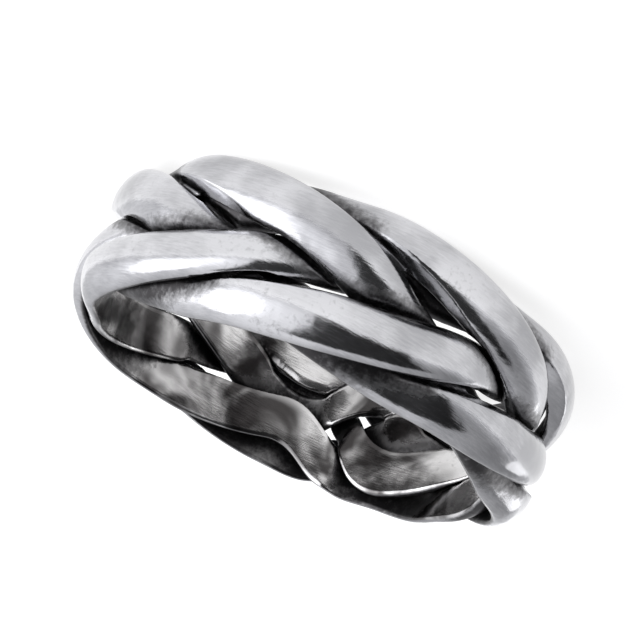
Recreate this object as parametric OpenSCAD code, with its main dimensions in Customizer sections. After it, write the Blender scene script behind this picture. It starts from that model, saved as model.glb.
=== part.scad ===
// Woven metal puzzle ring: five closed bands plaited over two, under two.
// The ring lies flat: its axis is Z and the origin is the centre of the finger bore.

/* [Ring] */

// Finger bore, diameter across the flat inner faces (mm)
bore_d = 18.8; // [17.2:0.4:21.6]

// Reach of each band's centre line to either side of the middle plane (mm)
swing = 2.48; // [2.4:0.04:2.6]

/* [Band] */

// Width of one band (mm)
band_w = 2.45; // [2.25:0.05:2.5]

// Thickness of one band at the crown of its dome (mm)
band_t = 1; // [0.9:0.02:1.1]

// Height of the upright side below the dome (mm)
side_t = 0.18; // [0.14:0.02:0.24]

// How far a band's edge lifts as it leans on its neighbour (mm per mm)
lean = 0.2; // [0.12:0.04:0.32]

/* [Fit] */

// Clearance between two bands where they cross (mm)
gap = 0.18; // [0.17:0.01:0.2]

// Thinnest edge left where three bands meet (mm)
edge_min = 0.12; // [0.1:0.01:0.14]

/* [Weave] */

// How long a band stays out at the rim before it swings back, share of the swing
rim_hold = 0.044; // [0:0.004:0.06]

// Middle of the stretch where the weave turns back on itself, angle from +X (degrees)
back_at = 107; // [90:1:120]

// Length of that stretch (degrees)
back_len = 26; // [26:1:44]

// Length over which the weave slows before it turns back (degrees)
back_soft = 8; // [8:1:12]

// Position of the crossings around the ring (turns of the weave)
shift = 0.16; // [0:0.01:0.2]

// Squareness of the step between the lower and upper layers
step_soft = 0.5; // [0.4:0.05:0.6]

/* [Mesh] */

// Sections around each band
sections = 140; // [126:14:154]

// How much closer the sections stand where the weave turns back (degrees)
crowding = 26; // [10:1:30]

// Points across each dome
dome_points = 9; // [8:1:10]

/* [Hidden] */

BANDS = 5;
// seven crossings of the rim close the plait once around
RIM_STEPS = 7;
weave_turn = 360 * BANDS / RIM_STEPS;
// the weave turns back far enough here to close each band after one turn of the ring
back_from = back_at - back_len / 2;
back_pace = (360 - weave_turn) / back_len;
bore_r = bore_d / 2;
half_w = band_w / 2;
// a neighbour is followed this far past its own edge, in half widths, then left at this slope
REACH = 1.06;
AWAY = 4;
SCAN = 24;
// bottom points across the flat inner face, in half widths
FLAT = [-0.96, -0.35, 0.35, 0.96];
SILVER = [0.80, 0.80, 0.79];

// 0, then x, with a smooth blend of half width back_soft
function eased(x) =
    x < -back_soft ? 0 : x > back_soft ? x : (x + back_soft) * (x + back_soft) / (4 * back_soft);

// weave turns laid down between +X and angle a
function laid(a) =
    (a - back_pace * (eased(a - back_from) - eased(a - back_from - back_len))) / weave_turn;

// place in the weave of band k at angle a: 0 at the upper rim, 0.5 at the lower
function phase(k, a) = shift - laid(a) + k / BANDS;

function side_of(u) = swing * (cos(360 * u) - rim_hold * cos(1080 * u));

// lower or upper layer as a number from 0 to 1
function layer(u) =
    let (s = sin(720 * u)) 0.5 + 0.5 * s * sqrt((1 + step_soft ^ 2) / (s ^ 2 + step_soft ^ 2));

function tip(u) = lean * half_w * (sin(360 * u) - cos(360 * u)) * (1 + sin(720 * u));

// untrimmed radius of the inner face and of the dome, s in half widths
function floor_r(u, s) = bore_r + max(0, (band_t + gap) * layer(u) + tip(u) * s);
function dome_r(u, s) =
    floor_r(u, s) + side_t + (band_t - side_t) * sqrt(max(0, 1 - s * s));

function neighbour(v, u) = (v - side_of(u)) / half_w;
function held(s) = min(1, max(-1, s));
function beyond(q) = AWAY * max(0, abs(q) - REACH);

// dome after the two bands that pass over this one have taken their room
function top_r(u, s) =
    let (v = side_of(u) + s * half_w, own = dome_r(u, s))
    min([own, for (m = [1, 2])
        let (n = u + m / BANDS, q = neighbour(v, n), other = floor_r(n, held(q)) + beyond(q))
        own + gap > other ? (own + other - gap) / 2 : own]);

// inner face after the two bands that pass under this one have taken their room
function low_r(u, s) =
    let (v = side_of(u) + s * half_w, own = floor_r(u, s))
    max([own, for (m = [3, 4])
        let (n = u + m / BANDS, q = neighbour(v, n), other = dome_r(n, held(q)) - beyond(q))
        other + gap > own ? (own + other + gap) / 2 : own]);

function spare(u, s) = top_r(u, s) - low_r(u, s) - edge_min;

// how far out the band can run on one side before its neighbours close on it
function side_end(u, dir, i = 1) =
    i > SCAN ? 1 :
    let (out = spare(u, dir * i / SCAN))
    out >= 0 ? side_end(u, dir, i + 1) :
    let (last = spare(u, dir * (i - 1) / SCAN)) (i - 1 + last / (last - out)) / SCAN;

// one section as [radius, height] points: dome first, then the flat inner face
function section(u) =
    let (hi = side_end(u, 1), lo = side_end(u, -1), half = (hi + lo) / 2, mid = (hi - lo) / 2)
    concat(
        [for (i = [0 : dome_points])
            let (s = mid + half * cos(180 * i / dome_points)) [top_r(u, s), side_of(u) + s * half_w]],
        [for (f = FLAT)
            let (s = mid + half * f) [low_r(u, s), side_of(u) + s * half_w]]);

// angle of section i
function section_at(i) =
    let (even = 360 * i / sections) even - crowding * (sin(even - back_at) + sin(back_at));

module band(k) {
    count = dome_points + 1 + len(FLAT);
    points = [for (i = [0 : sections - 1])
        let (a = section_at(i))
        for (p = section(phase(k, a))) [p[0] * cos(a), p[0] * sin(a), p[1]]];
    faces = [for (i = [0 : sections - 1], n = [0 : count - 1])
        let (here = i * count, next = ((i + 1) % sections) * count, m = (n + 1) % count)
        for (f = [[here + n, next + m, here + m], [here + n, next + n, next + m]]) f];
    polyhedron(points, faces);
}

module band_1() { color(SILVER) band(0); }
module band_2() { color(SILVER) band(1); }
module band_3() { color(SILVER) band(2); }
module band_4() { color(SILVER) band(3); }
module band_5() { color(SILVER) band(4); }

band_1();
band_2();
band_3();
band_4();
band_5();
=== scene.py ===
import bpy
import math
import numpy as np
from mathutils import Matrix, Vector


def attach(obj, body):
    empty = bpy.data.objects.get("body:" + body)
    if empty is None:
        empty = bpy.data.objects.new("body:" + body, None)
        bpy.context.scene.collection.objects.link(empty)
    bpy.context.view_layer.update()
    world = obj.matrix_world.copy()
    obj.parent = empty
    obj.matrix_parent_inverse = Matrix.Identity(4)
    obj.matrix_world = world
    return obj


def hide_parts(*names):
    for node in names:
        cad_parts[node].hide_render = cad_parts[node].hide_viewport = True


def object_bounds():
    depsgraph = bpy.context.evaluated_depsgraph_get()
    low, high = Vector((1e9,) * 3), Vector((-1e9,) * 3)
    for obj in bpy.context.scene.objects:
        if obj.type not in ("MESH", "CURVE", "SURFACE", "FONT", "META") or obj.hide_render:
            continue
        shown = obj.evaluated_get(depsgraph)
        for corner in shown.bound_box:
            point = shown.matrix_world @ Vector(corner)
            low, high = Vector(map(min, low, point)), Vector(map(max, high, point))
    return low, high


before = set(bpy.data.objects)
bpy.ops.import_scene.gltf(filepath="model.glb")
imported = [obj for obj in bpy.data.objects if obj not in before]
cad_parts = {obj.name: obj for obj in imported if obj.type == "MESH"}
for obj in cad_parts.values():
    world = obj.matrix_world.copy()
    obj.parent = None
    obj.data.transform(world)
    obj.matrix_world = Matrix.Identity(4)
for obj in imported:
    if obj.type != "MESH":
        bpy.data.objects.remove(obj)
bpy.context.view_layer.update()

MM = 0.001

# ---------------------------------------------------------------- the weave
# The same rules as the CAD, sampled finely. Lengths here are in millimetres, angles in degrees.

BANDS = 5
# bumps along a rim in one turn of the ring, at the pitch of the front
RIM_STEPS = 7
WEAVE_TURN = 360.0 * BANDS / RIM_STEPS
BORE_R = 9.4
# how far a band's middle swings to either side, and how long it keeps to the rim
SWING = 2.48
RIM_HOLD = 0.044
BAND_W = 2.45
HALF_W = BAND_W / 2
BAND_T = 1.0
# upright side under the dome
SIDE_T = 0.18
# tilt of a band as it climbs over its neighbours
LEAN = 0.2
# clearance between two bands, and the thinnest edge that is kept
GAP = 0.18
EDGE_MIN = 0.12
# the short stretch where the weave turns back on itself, at the back of the ring
BACK_AT = 107.0
BACK_LEN = 26.0
BACK_FROM = BACK_AT - BACK_LEN / 2
BACK_PACE = (360.0 - WEAVE_TURN) / BACK_LEN
BACK_SOFT = 8.0
# start of the weave, and softness of the step from under to over
SHIFT = 0.16
STEP_SOFT = 0.5
# a neighbour's room ends REACH half widths from its middle, then falls away this steeply
REACH = 1.06
AWAY = 4.0

# points round a band, across its dome and across its flat
AROUND = 720
ACROSS = 40
FLAT_ACROSS = 12
FLAT_END = 0.97
# the sections stand closer together where the weave turns back
CROWDING = 26.0

# reach of the oxide in a crevice, past the neighbour's edge
CREVICE = 1.2


def eased(x):
    """0 before the bend and x after it, with a soft bend at 0."""
    blend = (x + BACK_SOFT) ** 2 / (4 * BACK_SOFT)
    return np.where(x < -BACK_SOFT, 0.0, np.where(x > BACK_SOFT, x, blend))


def laid(a):
    """Turns of the weave that are laid by the angle a."""
    turned = eased(a - BACK_FROM) - eased(a - BACK_FROM - BACK_LEN)
    return (a - BACK_PACE * turned) / WEAVE_TURN


def phase(k, a):
    """Place of band k in the weave at the angle a. All the rules below take it as u."""
    return SHIFT - laid(a) + k / BANDS


def side_of(u):
    """Height of the band's middle along the bore."""
    return SWING * (np.cos(2 * np.pi * u) - RIM_HOLD * np.cos(6 * np.pi * u))


def layer(u):
    """0 where the band runs under the others, 1 where it runs over them."""
    s = np.sin(4 * np.pi * u)
    return 0.5 + 0.5 * s * np.sqrt((1 + STEP_SOFT ** 2) / (s ** 2 + STEP_SOFT ** 2))


def tip(u):
    """Rise at the band's edge that comes from its tilt."""
    x = 2 * np.pi * u
    return LEAN * HALF_W * (np.sin(x) - np.cos(x)) * (1 + np.sin(2 * x))


def floor_r(u, s):
    """Radius of the flat inner face, s half widths from the band's middle."""
    return BORE_R + np.maximum(0, (BAND_T + GAP) * layer(u) + tip(u) * s)


def dome_r(u, s):
    """Radius of the dome, s half widths from the band's middle."""
    return floor_r(u, s) + SIDE_T + (BAND_T - SIDE_T) * np.sqrt(np.clip(1 - s * s, 0, 1))


def beyond(q):
    """How far a neighbour's surface has fallen away, q half widths from its middle."""
    return AWAY * np.maximum(0, np.abs(q) - REACH)


def skins(u, s):
    """Radius of the dome and of the inner face, after the neighbours have taken their room.

    Bands 1 and 2 places on run over this one. Bands 3 and 4 places on run under it.
    """
    v = side_of(u) + s * HALF_W
    dome, low = dome_r(u, s), floor_r(u, s)
    top, under = dome, low
    for m in (1, 2):
        n = u + m / BANDS
        q = (v - side_of(n)) / HALF_W
        other = floor_r(n, np.clip(q, -1, 1)) + beyond(q)
        top = np.minimum(top, np.where(dome + GAP > other, (dome + other - GAP) / 2, dome))
    for m in (3, 4):
        n = u + m / BANDS
        q = (v - side_of(n)) / HALF_W
        other = dome_r(n, np.clip(q, -1, 1)) - beyond(q)
        under = np.maximum(under, np.where(other + GAP > low, (low + other + GAP) / 2, low))
    return top, under


def side_ends(u):
    """How far, in half widths, the band runs to either side before its neighbours close on it."""
    steps = np.linspace(0, 1, 97)
    ends = []
    for way in (1, -1):
        top, under = skins(u[:, None], way * steps[None, :])
        open_ = np.cumprod(top - under >= EDGE_MIN, axis=1)
        ends.append(steps[np.maximum(open_.sum(axis=1) - 1, 0)])
    return ends


def ease(x):
    """A smooth step from 0 to 1."""
    x = np.clip(x, 0, 1)
    return x * x * (3 - 2 * x)


def shelter(u, s, others, sign):
    """How far under its neighbours a point lies: 1 in the crevice, 0 in the open."""
    v = side_of(u) + s * HALF_W
    deep = np.zeros(np.broadcast(u, s).shape)
    here = dome_r(u, s) if sign > 0 else floor_r(u, s)
    for m in others:
        n = u + m / BANDS
        q = (v - side_of(n)) / HALF_W
        aside = np.maximum(0, np.abs(q) - 1) * HALF_W
        crown = dome_r(n, 0 * q) if sign > 0 else floor_r(n, 0 * q)
        above = sign * (crown - here)
        deep = np.maximum(deep, ease(1 - aside / CREVICE) * ease(above / (0.5 * BAND_T)))
    return deep


def band_mesh(k):
    """Band k as one closed mesh, with its blackened crevices, the painted shade on its sunk inner
    faces and the inner face marked on its points.
    """
    even = 360.0 * np.arange(AROUND) / AROUND
    a = even - CROWDING * (np.sin(np.radians(even - BACK_AT)) + math.sin(math.radians(BACK_AT)))
    u = phase(k, a)
    hi, lo = side_ends(u)
    half, mid = (hi + lo)[:, None] / 2, (hi - lo)[:, None] / 2
    over = np.cos(np.linspace(0, math.pi, ACROSS))[None, :]
    flat = np.linspace(-FLAT_END, FLAT_END, FLAT_ACROSS)[None, :]
    uu = u[:, None]
    s_over, s_flat = mid + half * over, mid + half * flat
    r = np.concatenate([skins(uu, s_over)[0], skins(uu, s_flat)[1]], axis=1)
    v = np.concatenate([side_of(uu) + s_over * HALF_W, side_of(uu) + s_flat * HALF_W], axis=1)
    # painted shade: an inner face darkens the further it sits back from the bore; the mask below joins
    # it to the real oxide beside the neighbours
    sunk_shade = ease((floor_r(uu, s_flat) - BORE_R) / (0.9 * BAND_T) - 0.1)
    flat_oxide_and_shade = np.maximum(sunk_shade, shelter(uu, s_flat, (3, 4), -1))
    oxide_and_shade = np.concatenate([shelter(uu, s_over, (1, 2), 1), flat_oxide_and_shade], axis=1)
    inside = np.concatenate([np.zeros(s_over.shape), np.ones(s_flat.shape)], axis=1)
    rad = np.radians(a)[:, None]
    verts = np.stack([r * np.cos(rad), r * np.sin(rad), v], axis=-1).reshape(-1, 3) * MM
    n = ACROSS + FLAT_ACROSS
    i, j = np.meshgrid(np.arange(AROUND), np.arange(n), indexing="ij")
    i2, j2 = (i + 1) % AROUND, (j + 1) % n
    faces = np.stack([i * n + j, i * n + j2, i2 * n + j2, i2 * n + j], axis=-1).reshape(-1, 4)
    mesh = bpy.data.meshes.new("band_%d_fine" % (k + 1))
    mesh.from_pydata(verts.tolist(), [], faces.tolist())
    mesh.update()
    mesh.shade_smooth()
    for name, values in (("oxide_and_shade", oxide_and_shade), ("inside", inside)):
        mesh.attributes.new(name, "FLOAT", "POINT").data.foreach_set("value", values.ravel())
    return mesh


# ---------------------------------------------------------------- materials

class Graph:
    """Short calls for adding and linking shader nodes."""

    def __init__(self, tree):
        self.tree = tree

    def node(self, kind, sockets=None, **settings):
        """Adds a node, with its settings and its sockets' values or links."""
        n = self.tree.nodes.new(kind)
        for key, value in settings.items():
            setattr(n, key, value)
        for key, value in (sockets or {}).items():
            self.put(n.inputs[key], value)
        return n

    def put(self, socket, value):
        """Links the value to the socket, or sets it there."""
        if isinstance(value, bpy.types.NodeSocket):
            self.tree.links.new(value, socket)
        else:
            socket.default_value = value

    def math(self, operation, a, b):
        return self.node("ShaderNodeMath", {0: a, 1: b}, operation=operation).outputs[0]

    def plus(self, a, b):
        return self.math("ADD", a, b)

    def times(self, a, b):
        return self.math("MULTIPLY", a, b)

    def dot(self, a, b):
        n = self.node("ShaderNodeVectorMath", {0: a, 1: b}, operation="DOT_PRODUCT")
        return n.outputs["Value"]

    def between(self, value, low, high, out_low=0.0, out_high=1.0):
        """A smooth step from out_low to out_high while the value goes from low to high."""
        n = self.node("ShaderNodeMapRange", {
            "Value": value, "From Min": low, "From Max": high,
            "To Min": out_low, "To Max": out_high}, interpolation_type="SMOOTHSTEP")
        return n.outputs["Result"]

    def noise(self, place, scale, detail=2.0, rough=0.5, warp=0.0):
        n = self.node("ShaderNodeTexNoise", {
            "Vector": place, "Scale": scale, "Detail": detail,
            "Roughness": rough, "Distortion": warp})
        return n.outputs["Fac"]

    def mix_value(self, factor, a, b):
        n = self.node("ShaderNodeMix", {0: factor, 2: a, 3: b}, data_type="FLOAT")
        return n.outputs[0]

    def mix(self, factor, a, b):
        n = self.node("ShaderNodeMix", data_type="RGBA")
        self.put(n.inputs[0], factor)
        self.put(n.inputs[6], a)
        self.put(n.inputs[7], b)
        return n.outputs[2]

    def attribute(self, name):
        return self.node("ShaderNodeAttribute", attribute_name=name).outputs["Fac"]


# metal colours
BRIGHT, WORN = (0.63, 0.63, 0.65, 1), (0.37, 0.37, 0.385, 1)
# dark and bright of the painted reflections on the inner face
INNER_BRIGHT_REFLECTION, INNER_DARK_REFLECTION = (0.74, 0.73, 0.73, 1), (0.06, 0.056, 0.056, 1)
# grey and black of the crevice oxide, also used as painted shade on the sunk inner faces
GREY_OXIDE_AND_SHADE, BLACK_OXIDE_AND_SHADE = (0.13, 0.128, 0.13, 1), (0.05, 0.048, 0.05, 1)


def silver():
    """Polished silver with blackened crevices, painted shade on the sunk inner faces, painted dark and
    bright reflections on the inner face, fine scratches and soft dents.
    """
    mat = bpy.data.materials.new("silver")
    mat.use_nodes = True
    g = Graph(mat.node_tree)
    bsdf = mat.node_tree.nodes["Principled BSDF"]
    place = g.node("ShaderNodeTexCoord").outputs["Object"]
    # drawn out round the ring, because a band runs mostly that way
    stretched = g.node("ShaderNodeMapping", {"Vector": place, "Scale": (1, 1, 9)}).outputs[0]
    cloud = g.noise(place, 260, 3)
    patch = g.noise(place, 230, 3, 0.55, 0.8)
    grain = g.noise(place, 3600, 2, 0.7)
    scratch = g.noise(stretched, 1500, 3, 0.7)
    dents = g.noise(place, 1000, 1)
    oxide_and_shade, inside = g.attribute("oxide_and_shade"), g.attribute("inside")

    # the oxide starts in the crevice, thins from black to grey and breaks up into grains at its edge;
    # the same black and grey are painted shade on the sunk inner faces
    ragged = g.plus(oxide_and_shade, g.times(g.math("SUBTRACT", grain, 0.5), 0.9))
    ragged = g.plus(ragged, g.times(g.math("SUBTRACT", cloud, 0.5), 0.7))
    grey = g.between(ragged, 0.12, 0.62)
    black = g.between(ragged, 0.5, 1.05)

    mottled = g.plus(g.times(cloud, 0.8), g.times(scratch, 0.2))
    outer = g.mix(g.between(mottled, 0.38, 0.64), WORN, BRIGHT)
    # painted reflections: the inner face is patched dark and bright
    inner = g.mix(g.between(patch, 0.40, 0.62), INNER_DARK_REFLECTION, INNER_BRIGHT_REFLECTION)
    bare = g.mix(inside, outer, inner)
    oxidised_and_shaded = g.mix(g.times(grey, 0.7), bare, GREY_OXIDE_AND_SHADE)
    g.put(bsdf.inputs["Base Color"], g.mix(black, oxidised_and_shaded, BLACK_OXIDE_AND_SHADE))
    bsdf.inputs["Metallic"].default_value = 1.0

    rough = g.plus(g.between(scratch, 0.3, 0.8, 0.10, 0.20), g.times(inside, 0.05))
    g.put(bsdf.inputs["Roughness"], g.plus(rough, g.times(grey, 0.22)))
    dented = g.node("ShaderNodeBump", {"Height": dents, "Strength": 1.0, "Distance": 0.03 * MM})
    bump = g.node("ShaderNodeBump", {
        "Height": scratch, "Strength": 0.13, "Distance": 0.04 * MM,
        "Normal": dented.outputs["Normal"]})
    g.put(bsdf.inputs["Normal"], bump.outputs["Normal"])
    return mat


# ---------------------------------------------------------------- the five bands

metal = silver()
for k in range(BANDS):
    name = "band_%d" % (k + 1)
    band = bpy.data.objects.new(name + "_polished", band_mesh(k))
    bpy.context.collection.objects.link(band)
    band.data.materials.append(metal)
    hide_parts(name)
    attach(band, name)

# ---------------------------------------------------------------- floor and light

low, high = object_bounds()


def light_table():
    """A white table, lit from within, and a little brighter away from the ring."""
    mat = bpy.data.materials.new("light_table")
    mat.use_nodes = True
    g = Graph(mat.node_tree)
    bsdf = mat.node_tree.nodes["Principled BSDF"]
    place = g.node("ShaderNodeTexCoord").outputs["Object"]
    away = g.node("ShaderNodeVectorMath", {0: place}, operation="LENGTH").outputs["Value"]
    bsdf.inputs["Base Color"].default_value = (0.45, 0.45, 0.45, 1)
    bsdf.inputs["Roughness"].default_value = 1.0
    bsdf.inputs["Specular IOR Level"].default_value = 0.0
    bsdf.inputs["Emission Color"].default_value = (1, 1, 1, 1)
    g.put(bsdf.inputs["Emission Strength"], g.between(away, 0.02, 0.10, 0.78, 1.0))
    return mat


bpy.ops.mesh.primitive_plane_add(size=4.0, location=(0, 0, low[2]))
ground = bpy.context.object
ground.name = "floor"
ground.data.materials.append(light_table())


def soft_light(name, azimuth, elevation, distance, size, watts):
    """A round area light that faces the ring."""
    data = bpy.data.lights.new(name, "AREA")
    data.shape = "DISK"
    data.size = size
    data.energy = watts
    lamp = bpy.data.objects.new(name, data)
    az, el = math.radians(azimuth), math.radians(elevation)
    way = Vector((math.cos(az) * math.cos(el), math.sin(az) * math.cos(el), math.sin(el)))
    lamp.location = way * distance
    lamp.rotation_euler = (-lamp.location).to_track_quat("-Z", "Y").to_euler()
    bpy.context.collection.objects.link(lamp)


soft_light("key", -10, 35, 0.5, 0.4, 0.45)
soft_light("rim", 147, 8, 0.5, 0.2, 0.14)

# the room is brightest this way
BRIGHT_WAY = Vector((0.80, -0.35, 0.30)).normalized()
ROOM_LEVEL = (0.42, 1.2)
BRIGHT_SPOT = 0.9
HORIZON_LEVEL = 0.9
BACKDROP_LEVEL = 0.95
# the dark panel in front of the ring: its two ends along X, and how far back it comes
PANEL_LEFT, PANEL_RIGHT, PANEL_BACK = -0.62, 0.135, -0.12
PANEL_SLANT = 0.4
PANEL_SOFT = 0.04
PANEL_LEVEL = 0.05


def studio_world():
    """A soft white room with one dark panel in front, as crisp dark patches in polished metal."""
    w = bpy.data.worlds.new("studio")
    w.use_nodes = True
    g = Graph(w.node_tree)
    back = w.node_tree.nodes["Background"]
    way = g.node("ShaderNodeTexCoord").outputs["Generated"]
    x, y, z = g.node("ShaderNodeSeparateXYZ", {0: way}).outputs

    lit = g.dot(way, BRIGHT_WAY)
    room = g.plus(g.between(lit, -0.9, 0.9, *ROOM_LEVEL), g.between(lit, 0.72, 1.0, 0.0, BRIGHT_SPOT))
    room = g.mix_value(g.between(z, 0.0, 0.3), HORIZON_LEVEL, room)

    def past(value, edge):
        return g.between(value, edge - PANEL_SOFT, edge + PANEL_SOFT)

    def short_of(value, edge):
        return g.between(value, edge - PANEL_SOFT, edge + PANEL_SOFT, 1.0, 0.0)

    panel = g.times(past(g.plus(x, g.times(z, PANEL_SLANT)), PANEL_LEFT), short_of(x, PANEL_RIGHT))
    panel = g.times(panel, short_of(y, PANEL_BACK))
    level = g.times(room, g.between(panel, 0.0, 1.0, 1.0, PANEL_LEVEL))

    # the room lights the ring, and the backdrop that shows behind it is plain white
    seen = g.node("ShaderNodeLightPath").outputs["Is Camera Ray"]
    g.put(back.inputs["Strength"], g.mix_value(seen, level, BACKDROP_LEVEL))
    back.inputs["Color"].default_value = (0.97, 0.975, 1, 1)
    return w


bpy.context.scene.world = studio_world()

# ---------------------------------------------------------------- camera
# It looks down at the ring's front, and is rolled so far that +Z points down and to the left.

TILT = 16.95
ROLL = 206.8
DISTANCE = 73.35 * MM
LENS = 89.98

data = bpy.data.cameras.new("camera")
data.sensor_width = 36.0
data.lens = LENS
data.shift_x = 0.001
data.shift_y = 0.0517
data.clip_start = 0.001
camera = bpy.data.objects.new("camera", data)
el = math.radians(TILT)
camera.location = Vector((0, -math.cos(el), math.sin(el))) * DISTANCE
look = (-camera.location).to_track_quat("-Z", "Y").to_matrix().to_4x4()
turn = Matrix.Rotation(math.radians(ROLL), 4, "Z")
camera.matrix_world = Matrix.Translation(camera.location) @ look @ turn
bpy.context.collection.objects.link(camera)
bpy.context.scene.camera = camera

bpy.context.scene.view_settings.view_transform = "Standard"
bpy.context.scene.view_settings.look = "None"
